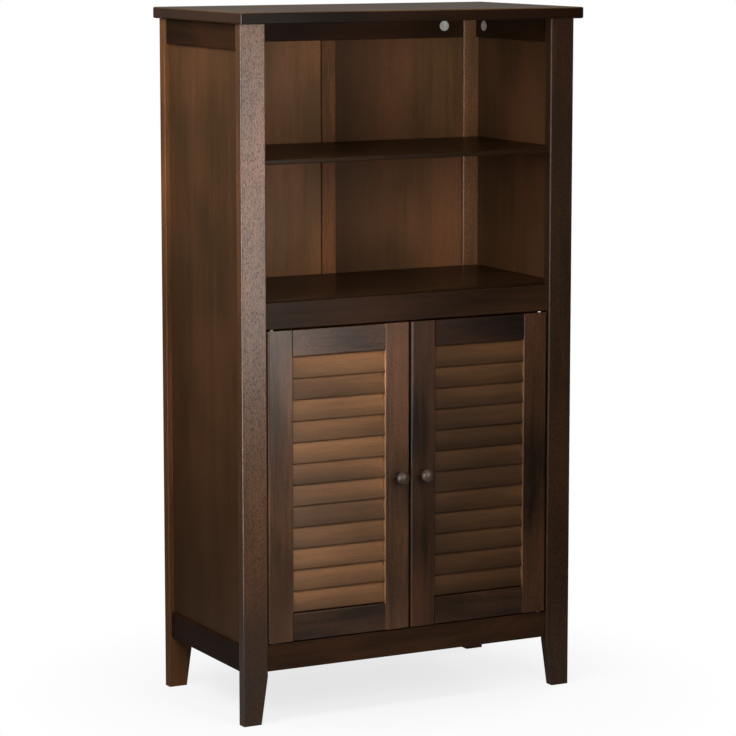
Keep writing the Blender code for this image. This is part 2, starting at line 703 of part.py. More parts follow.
def make_catch():
    """Magnetic catch on the back of the front middle rail, its nose hanging behind both doors' meeting stiles."""
    back = FRONT_RAIL_BACK_Y + GAP
    low = FRONT_MIDDLE_RAIL_LOW - CATCH_HANG
    nose_top = low + CATCH_NOSE_HEIGHT
    outline = [
        (-CATCH_NOSE_REACH, 0),
        (CATCH_DEPTH, 0),
        (CATCH_DEPTH, CATCH_HEIGHT),
        (0, CATCH_HEIGHT),
        (0, nose_top - low),
        (-CATCH_NOSE_REACH, nose_top - low),
    ]
    catch = bar("door_catch", outline, CATCH_WIDTH, "X", (0, back, low))
    add_finish(catch, CATCH_PLASTIC)


def main():
    clear_scene()
    make_top_board()
    for side in (LEFT, RIGHT):
        make_post(side, at_front=True)
        make_post(side, at_front=False)
        make_side_rails(side)
    make_back_rails()
    make_back_stile()
    make_panels()
    make_shelves()
    make_front_rails()
    for side in (LEFT, RIGHT):
        make_door(side)
    make_catch()


main()
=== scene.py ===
"""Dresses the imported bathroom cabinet: stained, lacquered wood, turned knobs, fittings and a plain studio."""

import math

import bpy
import numpy as np
from bpy.props import FloatProperty, FloatVectorProperty, PointerProperty
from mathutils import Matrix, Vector


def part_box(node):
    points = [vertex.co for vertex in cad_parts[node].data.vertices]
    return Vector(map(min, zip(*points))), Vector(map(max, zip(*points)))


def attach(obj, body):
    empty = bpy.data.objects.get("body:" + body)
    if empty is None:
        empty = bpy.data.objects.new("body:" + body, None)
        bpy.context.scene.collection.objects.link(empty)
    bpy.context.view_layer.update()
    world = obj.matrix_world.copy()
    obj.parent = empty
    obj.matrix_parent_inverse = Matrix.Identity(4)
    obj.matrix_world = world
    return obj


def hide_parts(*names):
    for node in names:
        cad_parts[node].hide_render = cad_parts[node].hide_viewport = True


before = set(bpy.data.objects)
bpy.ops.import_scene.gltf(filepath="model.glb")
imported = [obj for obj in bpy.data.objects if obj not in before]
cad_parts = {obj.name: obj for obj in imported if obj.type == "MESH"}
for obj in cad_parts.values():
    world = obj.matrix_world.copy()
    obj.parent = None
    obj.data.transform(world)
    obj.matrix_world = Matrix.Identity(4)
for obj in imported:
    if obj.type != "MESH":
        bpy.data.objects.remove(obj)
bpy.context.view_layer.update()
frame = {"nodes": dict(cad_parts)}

bl_info = {
    "name": "Louvred bathroom cabinet",
    "version": (1, 0, 0),
    "blender": (4, 5, 0),
    "location": "View3D > Sidebar > Cabinet",
    "description": "Stains, lacquers and fits out the louvred bathroom cabinet in a plain studio",
    "category": "Object",
}

MM = 0.001

# How a piece's grain is turned into the pattern's own upright grain
GRAIN_TURN = {"x": (0, -math.pi / 2, 0), "y": (math.pi / 2, 0, 0), "z": (0, 0, 0)}

# Across, up and out for a fitting that faces each way
FACING = {
    "front": ((1, 0, 0), (0, 0, 1), (0, -1, 0)),
    "back": ((-1, 0, 0), (0, 0, 1), (0, 1, 0)),
    "left": ((0, -1, 0), (0, 0, 1), (-1, 0, 0)),
    "right": ((0, 1, 0), (0, 0, 1), (1, 0, 0)),
}

# Finishes of stained and lacquered wood. dark and light: how far the stain goes each way. clouds: how much of
# that lies in broad blotches. pores: how deep and dark they are. rough and gloss: the wood under the lacquer.
# lacquer: its weight and its roughness.
FINISHES = {
    "post": {
        "dark": 0.64, "light": 1.38, "clouds": 0.35, "pores": 0.80, "rough": (0.40, 0.52), "gloss": 0.12,
        "lacquer": (1.0, 0.30),
    },
    "rail": {
        "dark": 0.55, "light": 1.48, "clouds": 0.40, "pores": 0.30, "rough": (0.42, 0.54), "gloss": 0.06,
        "lacquer": (0.08, 0.28),
    },
    "door": {
        "dark": 0.32, "light": 1.76, "clouds": 0.45, "pores": 0.38, "rough": (0.40, 0.52), "gloss": 0.08,
        "lacquer": (0.95, 0.30),
    },
    "panel": {
        "dark": 0.70, "light": 1.30, "clouds": 0.50, "pores": 0.20, "rough": (0.40, 0.50), "gloss": 0.06,
        "lacquer": (0.14, 0.30),
    },
    "shelf": {
        "dark": 0.60, "light": 1.40, "clouds": 0.40, "pores": 0.12, "rough": (0.34, 0.42), "gloss": 0.06,
        "lacquer": (0.03, 0.12),
    },
    "top": {
        "dark": 0.65, "light": 1.35, "clouds": 0.45, "pores": 0.20, "rough": (0.36, 0.44), "gloss": 0.08,
        "lacquer": (0.75, 0.20),
    },
    # The slats' walk reaches far each way partly to carry the painted light and shade within each slat
    "slat": {
        "dark": 0.42, "light": 2.30, "clouds": 0.40, "pores": 0.15, "rough": (0.42, 0.52), "gloss": 0.08,
        "lacquer": (0.16, 0.32),
    },
    "knob": {
        "dark": 0.70, "light": 1.30, "clouds": 0.30, "pores": 0.15, "rough": (0.45, 0.55), "gloss": 0.12,
        "lacquer": (1.0, 0.42),
    },
}

# The grain's layers: how wide each is, how many times as long, the noise that counts as 0 and as 1, and
# its detail. Rubberwood's fibres are far finer than a pixel, so they are drawn in bundles of 2.4 mm. Its
# pores are 0.2 mm wide, too fine to show here, so they are drawn six times as wide.
GRAIN_LAYERS = {
    "clouds": (130 * MM, 1.6, 0.30, 0.70, 1.0),
    "figure": (40 * MM, 6, 0.30, 0.70, 2.0),
    "streaks": (10 * MM, 20, 0.28, 0.72, 3.0),
    "fibres": (2.4 * MM, 16, 0.25, 0.75, 2.0),
    "pores": (1.2 * MM, 2.6, 0.43, 0.69, 1.0),
}
NOISE_ROUGHNESS = 0.55

# How much the streaks count against the figure, and the fibres against both
STREAK_SHARE = 0.5
FIBRE_SHARE = 0.3

# How much a slat's own tone counts, and how much the height within the slat, which paints each slat
# lighter towards its upper edge and darker at its lower one: painted light and shade
SLAT_TONE_SHARE = 0.34
SLAT_PAINTED_LIGHT_SHARE = 0.45

# Where the walk from the dark stain to the light one starts, passes the stain itself and ends, and how far
# its hue turns on the way
WALK_START = 0.20
WALK_MIDDLE = 0.5
WALK_END = 0.80
BOARD_TURN = 0.05
SLAT_TURN = 0.01

# The tone of the deepest pore, the lacquer that stays over it, and how it dents the wood
PORE_TONE = 0.3
PORE_LACQUER = 0.35
PORE_DENT = 0.6
PORE_DEPTH = 0.12 * MM

# The fine patterns of metal and plastic, in the way of the grain's layers. Tumbling scratches metal about
# every 0.1 mm, and the grain of a spark-eroded tool is as fine. Neither would show here, so both are drawn
# coarser.
METAL_SCRATCHES = (1 * MM, 6, 0.3, 0.7, 2.0)
PLASTIC_GRAIN = (0.8 * MM, 1, 0.3, 0.7, 2.0)

# The metal's tone between its scratches, and how much rougher it is in them
POLISHED_TONE = 0.8
SCRATCH_BLUR = 0.15

# How far the plastic's tone goes each way, and how its grain dents it
PLASTIC_TONES = (0.9, 1.1)
PLASTIC_DENT = 0.3
PLASTIC_DEPTH = 0.05 * MM


def linear(hex_colour):
    """An sRGB hex colour, such as 4a2f20, as linear red, green and blue."""
    parts = [int(hex_colour[i : i + 2], 16) / 255 for i in (0, 2, 4)]
    return tuple(c / 12.92 if c <= 0.04045 else ((c + 0.055) / 1.055) ** 2.4 for c in parts)


def shade(colour, share):
    """A linear colour made darker or lighter, with the full opacity that a colour socket wants."""
    return (colour[0] * share, colour[1] * share, colour[2] * share, 1)


def add_node(tree, kind, values=None, **settings):
    """Adds one node with its settings, and gives each named input a number or a link."""
    node = tree.nodes.new(kind)
    for setting, value in settings.items():
        setattr(node, setting, value)
    for name, value in (values or {}).items():
        if isinstance(value, bpy.types.NodeSocket):
            tree.links.new(value, node.inputs[name])
        else:
            node.inputs[name].default_value = value
    return node


def new_material(name):
    """An empty node material and its tree."""
    material = bpy.data.materials.new(name)
    material.use_nodes = True
    material.node_tree.nodes.clear()
    return material, material.node_tree


def finish_material(material, shader):
    """Joins the shader to the material's output."""
    add_node(material.node_tree, "ShaderNodeOutputMaterial", {"Surface": shader.outputs[0]})
    return material


def grain_layer(tree, grain, width, stretch, low, high, detail):
    """One layer of the grain, from 0 to 1: noise as wide as width across the grain and stretch times as long,
    where low counts as 0 and high as 1."""
    place = add_node(tree, "ShaderNodeMapping", {"Vector": grain, "Scale": (1, 1, 1 / stretch)})
    noise = add_node(
        tree,
        "ShaderNodeTexNoise",
        {"Vector": place.outputs[0], "Scale": 1 / width, "Detail": detail, "Roughness": NOISE_ROUGHNESS},
    )
    return add_node(
        tree,
        "ShaderNodeMapRange",
        {"Value": noise.outputs[0], "From Min": low, "From Max": high},
        interpolation_type="SMOOTHSTEP",
    ).outputs[0]


def band(tree, point, axis, start, end):
    """0 up to start and 1 from end along one axis, both in metres, straight between them."""
    along = add_node(tree, "ShaderNodeSeparateXYZ", {"Vector": point}).outputs[axis]
    limits = {"Value": along, "From Min": start, "From Max": end}
    return add_node(tree, "ShaderNodeMapRange", limits).outputs[0]


def own_tone(tree, point, pitch, first, seed):
    """Two numbers from 0 to 1: each slat's own one, found from its height, and how far up its slat a point
    lies, which stained_wood uses for the painted light that lightens each slat towards its top."""
    height = add_node(tree, "ShaderNodeSeparateXYZ", {"Vector": point}).outputs["Z"]
    step = add_node(tree, "ShaderNodeMath", {0: height, 1: first}, operation="SUBTRACT")
    step = add_node(tree, "ShaderNodeMath", {0: step.outputs[0], 1: pitch}, operation="DIVIDE")
    rise = add_node(tree, "ShaderNodeMath", {0: step.outputs[0]}, operation="FRACT")
    step = add_node(tree, "ShaderNodeMath", {0: step.outputs[0]}, operation="FLOOR")
    step = add_node(tree, "ShaderNodeMath", {0: step.outputs[0], 1: seed}, operation="ADD")
    own = add_node(tree, "ShaderNodeTexWhiteNoise", {"W": step.outputs[0]}, noise_dimensions="1D")
    return own.outputs["Value"], rise.outputs[0]


def stained_wood(name, finish, stain, along, place, tone=1.0, slats=None, parts=(), rest=1.0):
    """Stained rubberwood under sprayed lacquer, its grain along one axis.

    Broad clouds, a figure about 40 mm wide, streaks of 10 mm and fibres add up to a walk from the dark
    stain, which is a little greener, to the light one, which is redder, as stain takes unevenly. Short
    pores lie dark in it, and the lacquer sinks in over them, so they break its shine too. slats gives each
    slat its own tone and makes it lighter towards its upper edge, a painted light: the pitch, the first
    slat's height and a seed. parts gives parts of the piece another stain or a painted shade, each by its
    axis, where it starts and is complete, and its colour. rest is the lacquer's share on what lies outside
    them.
    """
    look = FINISHES[finish]
    material, tree = new_material(name)
    point = add_node(tree, "ShaderNodeTexCoord").outputs["Object"]
    turned_grain = {"Vector": point, "Rotation": GRAIN_TURN[along], "Location": place}
    grain = add_node(tree, "ShaderNodeMapping", turned_grain).outputs[0]
    layers = {layer: grain_layer(tree, grain, *shape) for layer, shape in GRAIN_LAYERS.items()}
    fibres = layers["fibres"]
    mixed = layers["figure"]
    shares = ((STREAK_SHARE, layers["streaks"]), (FIBRE_SHARE, fibres), (look["clouds"], layers["clouds"]))
    if slats:
        own, rise = own_tone(tree, point, *slats)
        shares += ((SLAT_TONE_SHARE, own), (SLAT_PAINTED_LIGHT_SHARE, rise))
    for share, layer in shares:
        mixed = add_node(tree, "ShaderNodeMix", {"Factor": share, "A": mixed, "B": layer}).outputs[0]
    ramp = add_node(tree, "ShaderNodeValToRGB", {"Fac": mixed})
    stops = ramp.color_ramp.elements
    turn = SLAT_TURN if slats else BOARD_TURN
    dark = (stain[0] * (1 - turn / 2), stain[1] * (1 + turn), stain[2])
    light = (stain[0] * (1 + turn), stain[1] * (1 - turn), stain[2])
    stops[0].position, stops[0].color = WALK_START, shade(dark, look["dark"] * tone)
    stops[1].position, stops[1].color = WALK_END, shade(light, look["light"] * tone)
    stops.new(WALK_MIDDLE).color = shade(stain, tone)
    stained = ramp.outputs[0]
    weight, lacquer_roughness = look["lacquer"]
    if not parts:
        weight *= rest
    shown = 0.0
    for axis, start, end, colour in parts:
        there = band(tree, point, axis, start, end)
        walk = add_node(
            tree,
            "ShaderNodeMix",
            {"Factor": mixed, "A": shade(colour, look["dark"]), "B": shade(colour, look["light"])},
            data_type="RGBA",
        ).outputs["Result"]
        stained = add_node(
            tree, "ShaderNodeMix", {"Factor": there, "A": stained, "B": walk}, data_type="RGBA"
        ).outputs["Result"]
        shown = add_node(tree, "ShaderNodeMath", {0: shown, 1: there}, operation="MAXIMUM").outputs[0]
    if parts:
        weight = add_node(
            tree, "ShaderNodeMapRange", {"Value": shown, "To Min": weight * rest, "To Max": weight}
        ).outputs[0]
    strength = add_node(
        tree, "ShaderNodeMath", {0: layers["pores"], 1: look["pores"]}, operation="MULTIPLY"
    ).outputs[0]
    colour = add_node(
        tree,
        "ShaderNodeMix",
        {"Factor": strength, "A": stained, "B": shade(stain, PORE_TONE * tone)},
        data_type="RGBA",
    )
    least, most = look["rough"]
    rough = add_node(tree, "ShaderNodeMapRange", {"Value": fibres, "To Min": least, "To Max": most})
    hollow = add_node(tree, "ShaderNodeMath", {0: 1.0, 1: strength}, operation="SUBTRACT").outputs[0]
    sunk = add_node(
        tree, "ShaderNodeMapRange", {"Value": strength, "To Min": 1.0, "To Max": PORE_LACQUER}
    ).outputs[0]
    film = add_node(tree, "ShaderNodeMath", {0: weight, 1: sunk}, operation="MULTIPLY").outputs[0]
    dents = add_node(
        tree, "ShaderNodeBump", {"Height": hollow, "Strength": PORE_DENT, "Distance": PORE_DEPTH}
    )
    shader = add_node(
        tree,
        "ShaderNodeBsdfPrincipled",
        {
            "Base Color": colour.outputs["Result"],
            "Roughness": rough.outputs[0],
            "Specular IOR Level": look["gloss"],
            "IOR": 1.5,
            "Coat Weight": film,
            "Coat Roughness": lacquer_roughness,
            "Coat IOR": 1.5,
            "Normal": dents.outputs[0],
        },
    )
    return finish_material(material, shader)


def brushed_metal(name, colour, rough):
    """Plated steel or cast zinc, tumbled bright: its fine scratches are a little paler than the metal
    between them and blur the light that they send back."""
    material, tree = new_material(name)
    point = add_node(tree, "ShaderNodeTexCoord").outputs["Object"]
    scratches = grain_layer(tree, point, *METAL_SCRATCHES)
    tint = add_node(
        tree,
        "ShaderNodeMix",
        {"Factor": scratches, "A": shade(colour, POLISHED_TONE), "B": shade(colour, 1.0)},
        data_type="RGBA",
    )
    limits = {"Value": scratches, "To Min": rough, "To Max": rough + SCRATCH_BLUR}
    blur = add_node(tree, "ShaderNodeMapRange", limits)
    shader = add_node(
        tree,
        "ShaderNodeBsdfPrincipled",
        {"Base Color": tint.outputs["Result"], "Metallic": 1.0, "Roughness": blur.outputs[0]},
    )
    return finish_material(material, shader)


def moulded_plastic(name, colour):
    """ABS moulded in a spark-eroded tool: an even colour with a fine grained, half-matt skin."""
    material, tree = new_material(name)
    point = add_node(tree, "ShaderNodeTexCoord").outputs["Object"]
    skin = grain_layer(tree, point, *PLASTIC_GRAIN)
    low, high = PLASTIC_TONES
    tint = add_node(
        tree,
        "ShaderNodeMix",
        {"Factor": skin, "A": shade(colour, low), "B": shade(colour, high)},
        data_type="RGBA",
    )
    dents = add_node(
        tree, "ShaderNodeBump", {"Height": skin, "Strength": PLASTIC_DENT, "Distance": PLASTIC_DEPTH}
    )
    shader = add_node(
        tree,
        "ShaderNodeBsdfPrincipled",
        {"Base Color": tint.outputs["Result"], "Roughness": 0.45, "IOR": 1.53, "Normal": dents.outputs[0]},
    )
    return finish_material(material, shader)


def dress(node, material):
    """Gives a CAD node its material, in every slot it has."""
    slots = frame["nodes"][node].data.materials
    if not slots:
        slots.append(material)
    for i in range(len(slots)):
        slots[i] = material


SHARP_ANGLE = math.radians(40)


def closed_skin(name, rings, start, end):
    """A closed surface through rings of points, smooth but for edges sharper than SHARP_ANGLE.

    Point j of ring k joins point j + 1 of its own ring, counted round, and point j of ring k + 1. The two
    poles, start and end, join every point of the first and the last ring.
    """
    count, around = rings.shape[:2]
    ring, point = np.meshgrid(np.arange(count - 1), np.arange(around), indexing="ij")
    near = ring * around + point
    side = ring * around + (point + 1) % around
    walls = np.stack([near, side, side + around, near + around], axis=-1).reshape(-1, 4)
    turn = np.arange(around)
    following = (turn + 1) % around
    first = np.full(around, count * around)
    base = (count - 1) * around
    near_fan = np.stack([first, following, turn], axis=-1)
    far_fan = np.stack([first + 1, base + turn, base + following], axis=-1)
    mesh = bpy.data.meshes.new(name)
    points = np.concatenate([rings.reshape(-1, 3), [start, end]])
    mesh.from_pydata(points.tolist(), [], walls.tolist() + near_fan.tolist() + far_fan.tolist())
    mesh.polygons.foreach_set("use_smooth", np.ones(len(mesh.polygons), bool))
    mesh.set_sharp_from_angle(angle=SHARP_ANGLE)
    piece = bpy.data.objects.new(name, mesh)
    bpy.context.scene.collection.objects.link(piece)
    return piece


def fit(piece, body, material):
    """Gives a new piece its material, its body and the slot that its finish comes from."""
    piece.data.materials.append(material)
    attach(piece, body)
    return piece


def into_place(across, up, out, place, facing):
    """Points given across, up and out from a fitting's middle, in the cabinet's frame."""
    axes = [np.array(axis, float) for axis in FACING[facing]]
    local = [np.asarray(part, float)[..., None] for part in np.broadcast_arrays(across, up, out)]
    return sum(part * axis for part, axis in zip(local, axes)) + np.array(place, float)


def turned(name, radii, heights, place, facing, sides):
    """A lathe shape: ring k is a circle of radius radii[k] at heights[k] out from the face it stands on."""
    angle = np.linspace(0, 2 * math.pi, sides, endpoint=False)
    across, up = np.outer(radii, np.cos(angle)), np.outer(radii, np.sin(angle))
    rings = into_place(across, up, np.asarray(heights)[:, None], place, facing)
    start, end = (into_place(0.0, 0.0, h, place, facing) for h in (heights[0], heights[-1]))
    return closed_skin(name, rings, start, end)


# Where the rings of a round head lie, as shares of its radius, from the rim inwards
HEAD_RING_SHARES = np.concatenate([np.linspace(0.04, 0.94, 22), [0.98, 1.0]])[::-1]
HEAD_SIDES = 48

# How far up the rim stands straight and how much lower than its dome the head's outermost ring lies, as
# shares of the height, and how soon the recess runs out, as a share of its half width
RIM_SHARE = 0.4
RIM_DROP_SHARE = 0.25
RECESS_EDGE_SHARE = 0.35


def recessed_head(name, place, facing, radius, height, dome, slot_half, slot_reach, slot_depth):
    """A round head with a cross recess.

    Its top is the dome height * (1 - dome * r * r), with r from 0 to 1, less the recess. The recess is as
    deep as it can be where a point is within slot_half of either arm's middle line and within slot_reach
    of the head's middle, and runs out straight over about a third of that half width. The outermost ring
    lies a quarter of the height lower, and joins a straight rim.
    """
    angle = np.linspace(0, 2 * math.pi, HEAD_SIDES, endpoint=False)
    share = HEAD_RING_SHARES
    across, up = np.outer(share, np.cos(angle)), np.outer(share, np.sin(angle))
    top = height * (1 - dome * share[:, None] ** 2) * np.ones_like(across)
    top[0] -= height * RIM_DROP_SHARE
    edge = slot_half * RECESS_EDGE_SHARE

    def within(value, limit):
        return np.clip((limit - np.abs(value)) / edge, 0, 1)

    level_arm = within(up, slot_half) * within(across, slot_reach)
    upright_arm = within(across, slot_half) * within(up, slot_reach)
    top = top - slot_depth * np.maximum(level_arm, upright_arm)
    rings = into_place(across * radius, up * radius, top, place, facing)
    rim = np.broadcast_to(np.array([0.0, height * RIM_SHARE])[:, None], (2, HEAD_SIDES))
    rim_rings = into_place(np.cos(angle) * radius, np.sin(angle) * radius, rim, place, facing)
    start = into_place(0.0, 0.0, 0.0, place, facing)
    end = into_place(0.0, 0.0, height - slot_depth, place, facing)
    return closed_skin(name, np.concatenate([rim_rings, rings]), start, end)


# A plate's rings, from its back to its front: how far inside its outline and how high each lies, as shares of
# the thickness
PLATE_INSET_SHARES = np.array([0.0, 0.0, 0.1, 0.3])
PLATE_LEVEL_SHARES = np.array([0.0, 0.67, 0.9, 1.0])
PLATE_SIDES = 64


def rounded_plate(name, place, facing, width, height, thickness, power=6):
    """A thin plate whose outline is the superellipse |across / a| ** power + |up / b| ** power = 1, with its
    front edge rounded over a third of its thickness."""
    angle = np.linspace(0, 2 * math.pi, PLATE_SIDES, endpoint=False)
    c, s = np.cos(angle), np.sin(angle)
    reach = (np.abs(c) ** power + np.abs(s) ** power) ** (-1 / power)
    inset = PLATE_INSET_SHARES * thickness
    level = PLATE_LEVEL_SHARES * thickness
    across = np.outer(width / 2 - inset, c * reach)
    up = np.outer(height / 2 - inset, s * reach)
    rings = into_place(across, up, level[:, None], place, facing)
    start, end = (into_place(0.0, 0.0, h, place, facing) for h in (0.0, thickness))
    return closed_skin(name, rings, start, end)


class CabinetStains(bpy.types.PropertyGroup):
    """Colours of the stained wood."""

    frame: FloatVectorProperty(
        name="Frame stain",
        description="Stain of the posts, rails and door frames",
        default=linear("442b18"),
        subtype="COLOR",
        min=0,
        max=1,
    )
    # The upper face's stain is far lighter than the board's dark edges: partly a thinner stain, partly painted
    # light from above
    face: FloatVectorProperty(
        name="Top face stain",
        description="Stain of the top board's upper face, thinner than on its edges",
        default=linear("654c30"),
        subtype="COLOR",
        min=0,
        max=1,
    )
    panel: FloatVectorProperty(
        name="Panel stain",
        description="Stain of the thin panels and the shelves",
        default=linear("4b321e"),
        subtype="COLOR",
        min=0,
        max=1,
    )
    slat: FloatVectorProperty(
        name="Slat stain",
        description="Stain of the louvre slats, lighter than the frame's",
        default=linear("75502f"),
        subtype="COLOR",
        min=0,
        max=1,
    )
    knob: FloatVectorProperty(
        name="Knob stain",
        description="Stain of the turned knobs, the darkest",
        default=linear("38281c"),
        subtype="COLOR",
        min=0,
        max=1,
    )


class CabinetFittings(bpy.types.PropertyGroup):
    """Sizes of the fittings."""

    knob_base: FloatProperty(
        name="Knob base",
        description="Radius of the knob where it meets the door",
        default=7.5 * MM,
        subtype="DISTANCE",
        unit="LENGTH",
    )
    knob_neck: FloatProperty(
        name="Knob neck",
        description="Radius of the knob at its waist",
        default=5.0 * MM,
        subtype="DISTANCE",
        unit="LENGTH",
    )
    cam_radius: FloatProperty(
        name="Cam lock radius",
        description="Radius of the cam locks in the top rails",
        default=8.5 * MM,
        subtype="DISTANCE",
        unit="LENGTH",
    )
    screw_radius: FloatProperty(
        name="Screw head radius",
        description="Radius of the small screw heads",
        default=3.2 * MM,
        subtype="DISTANCE",
        unit="LENGTH",
    )
    strike_width: FloatProperty(
        name="Strike plate width",
        description="Width of the steel plate on each door that the catch holds",
        default=18 * MM,
        subtype="DISTANCE",
        unit="LENGTH",
    )


class CabinetStudio(bpy.types.PropertyGroup):
    """Camera, lamps and floor."""

    azimuth: FloatProperty(
        name="Camera azimuth",
        description="How far the camera stands round to the cabinet's left",
        default=0.48543,
        subtype="ANGLE",
        unit="ROTATION",
    )
    elevation: FloatProperty(
        name="Camera elevation",
        description="How far the camera looks down",
        default=0.14183,
        subtype="ANGLE",
        unit="ROTATION",
    )
    distance: FloatProperty(
        name="Camera distance",
        description="From the camera to the cabinet's middle",
        default=4.9006,
        subtype="DISTANCE",
        unit="LENGTH",
    )
    lens: FloatProperty(
        name="Lens",
        description="Focal length on a 36 mm sensor, in millimetres",
        default=149.20,
    )
    front: FloatProperty(
        name="Front lamp",
        description="Power of the tall softbox at the front",
        default=6.2,
        subtype="POWER",
        unit="POWER",
    )
    key: FloatProperty(
        name="Key lamp",
        description="Power of the softbox at the front left",
        default=11.0,
        subtype="POWER",
        unit="POWER",
    )
    side: FloatProperty(
        name="Side lamp",
        description="Power of the softbox near the left side",
        default=19.0,
        subtype="POWER",
        unit="POWER",
    )
    overhead: FloatProperty(
        name="Overhead lamp",
        description="Power of the softbox above the cabinet",
        default=10.0,
        subtype="POWER",
        unit="POWER",
    )
    edge: FloatProperty(
        name="Edge strip",
        description="Power of the strip that the lacquer of the left edges shows",
        default=16.6,
        subtype="POWER",
        unit="POWER",
    )
    right: FloatProperty(
        name="Right softbox",
        description="Power of the lamp at the right side, which the photograph's view doesn't see",
        default=14.0,
        subtype="POWER",
        unit="POWER",
    )
    back: FloatProperty(
        name="Back softbox",
        description="Power of the lamp behind the cabinet",
        default=10.0,
        subtype="POWER",
        unit="POWER",
    )
    floor: FloatVectorProperty(
        name="Floor",
        description="Colour of the pale floor",
        default=linear("e4e4e4"),
        subtype="COLOR",
        min=0,
        max=1,
    )


# The finish, the grain's direction and the tone of each board of the carcass. The tones are partly the
# boards' own, as each took the stain unevenly, and partly painted light and shade: each board is made lighter
# or darker as the light falls on it, so the front right post is darkened and the posts, stile and panels at
# the back are lightened.
CARCASS = {
    "top_board": ("top", "x", 0.17),
    "front_left_post": ("post", "z", 1.80),
    "front_right_post": ("post", "z", 0.50),
    "back_left_post": ("rail", "z", 2.20),
    "back_right_post": ("post", "z", 3.20),
    "left_top_side_rail": ("rail", "y", 0.42),
    "left_bottom_side_rail": ("rail", "y", 0.28),
    "right_top_side_rail": ("rail", "y", 0.60),
    "right_bottom_side_rail": ("rail", "y", 0.50),
    "back_top_rail": ("rail", "x", 0.36),
    "back_bottom_rail": ("rail", "x", 0.60),
    "back_centre_stile": ("rail", "z", 2.40),
    "front_middle_rail": ("rail", "x", 0.40),
    "front_bottom_rail": ("rail", "x", 0.56),
    "left_side_panel": ("panel", "z", 1.15),
    "right_side_panel": ("panel", "z", 1.14),
    "back_left_panel": ("panel", "z", 2.80),
    "back_right_panel": ("panel", "z", 1.85),
    "middle_shelf": ("shelf", "x", 0.32),
    "fixed_shelf": ("shelf", "x", 0.38),
    "cupboard_floor": ("shelf", "x", 0.80),
}
PANEL_STAINED = ("panel", "shelf")

# How much lacquer a board has outside its parts with a stain of their own, against what its finish says
OUTER_LACQUER = {
    "top_board": 0.08,
    "front_right_post": 0.5,
    "middle_shelf": 5.0,
    "fixed_shelf": 5.0,
    "cupboard_floor": 5.0,
}

# Boards with painted shade: their stain is darkened along them where less light reaches them, towards the
# floor, and on the back right panel towards the cabinet's middle. The axis, where it starts, where it is
# complete, and its share there
PAINTED_SHADE = {
    "front_left_post": ("Z", 0.36, 0.15, 0.34),
    "back_left_post": ("Z", 0.55, 0.18, 0.66),
    "left_side_panel": ("Z", 0.95, 0.25, 0.60),
    "back_right_panel": ("X", 0.22, 0.03, 0.38),
    "left_door_hinge_stile": ("Z", 0.35, 0.20, 0.52),
}

# The tones of the parts with a stain of their own. The top board's left end took less stain than the board,
# and the shelves' front edges took more. The sides of the stiles that face the slats are far paler than the
# stiles: partly a thinner stain, partly painted light on sides that lie in shade between the slats.
END_TONE = 0.6
SHELF_EDGE_TONE = 0.22
INNER_SIDE_STAIN_AND_LIGHT_TONE = 3.8

# How far inside a surface its own stain starts, and how far inside it is complete
TOP_END_DEPTHS = (2.4 * MM, 0.4 * MM)
TOP_FACE_DEPTHS = (2.2 * MM, 0.2 * MM)
SHELF_EDGE_DEPTHS = (1.2 * MM, 0.3 * MM)
INNER_SIDE_DEPTHS = (0.45 * MM, 0.15 * MM)

# Each door's tone, its slats' tone, the seed of each slat's own tone, the lacquer's share, and the first
# seats of the patterns on its frame and on its slats. The right door's tones are lower as painted shade,
# where less light falls than on the left door.
DOORS = {
    "left": (1.10, 0.64, 3.0, 1.0, 30, 50),
    "right": (0.52, 0.245, 21.0, 0.55, 35, 53),
}
DOOR_FRAME = ("hinge_stile", "meeting_stile", "top_rail", "bottom_rail")

# Door boards with a tone of their own: partly the boards' own, partly painted light and shade, lighter
# where more light falls and darker towards the foot
DOOR_TONES_AND_LIGHT = {
    "left_door_hinge_stile": 1.75,
    "left_door_top_rail": 0.92,
    "left_door_bottom_rail": 0.70,
    "right_door_top_rail": 0.26,
}


# How far apart two patterns start in the wood, along each axis
SEAT_STEPS = (0.37, 0.53, 0.71)


def seat(number):
    """Where a board's pattern starts, so that no two boards show the same wood."""
    return tuple(step * number for step in SEAT_STEPS)


def wood_name(words):
    """A wood's name, from a node's name or plain words."""
    return "stained rubberwood, " + words.replace("_", " ")


def painted_shade_part(node, stain, tone):
    """The part of a board with painted shade, where its stain is darkened, as stained_wood takes it."""
    axis, start, end, share = PAINTED_SHADE[node]
    return axis, start, end, shade(stain, tone * share)


class CABINET_OT_carcass(bpy.types.Operator):
    """Stain and lacquer the top board, posts, rails, panels and shelves"""

    bl_idname = "cabinet.carcass"
    bl_label = "Finish the carcass"

    def execute(self, context):
        stains = context.scene.cabinet_stains
        for number, (node, (finish, along, tone)) in enumerate(CARCASS.items()):
            stain = stains.panel if finish in PANEL_STAINED else stains.frame
            parts = self.own_parts(node, finish, stain, stains.face, tone)
            rest = OUTER_LACQUER.get(node, 1.0)
            wood = stained_wood(
                wood_name(node), finish, stain, along, seat(number), tone, parts=parts, rest=rest
            )
            dress(node, wood)
        return {"FINISHED"}

    def own_parts(self, node, finish, stain, face_stain_and_light, tone):
        """The parts of a board that have a stain of their own or painted shade, as stained_wood takes them."""
        # The top board's upper face: a lighter stain, partly painted light from above
        if finish == "top":
            (left, _, _), (_, _, high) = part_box(node)
            start, end = TOP_END_DEPTHS
            left_end = ("X", left + start, left + end, shade(stain, END_TONE))
            start, end = TOP_FACE_DEPTHS
            return left_end, ("Z", high - start, high - end, face_stain_and_light)
        if node in PAINTED_SHADE:
            return (painted_shade_part(node, stain, tone),)
        if finish == "shelf":
            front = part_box(node)[0].y
            start, end = SHELF_EDGE_DEPTHS
            return (("Y", front + start, front + end, shade(stain, SHELF_EDGE_TONE)),)
        return ()


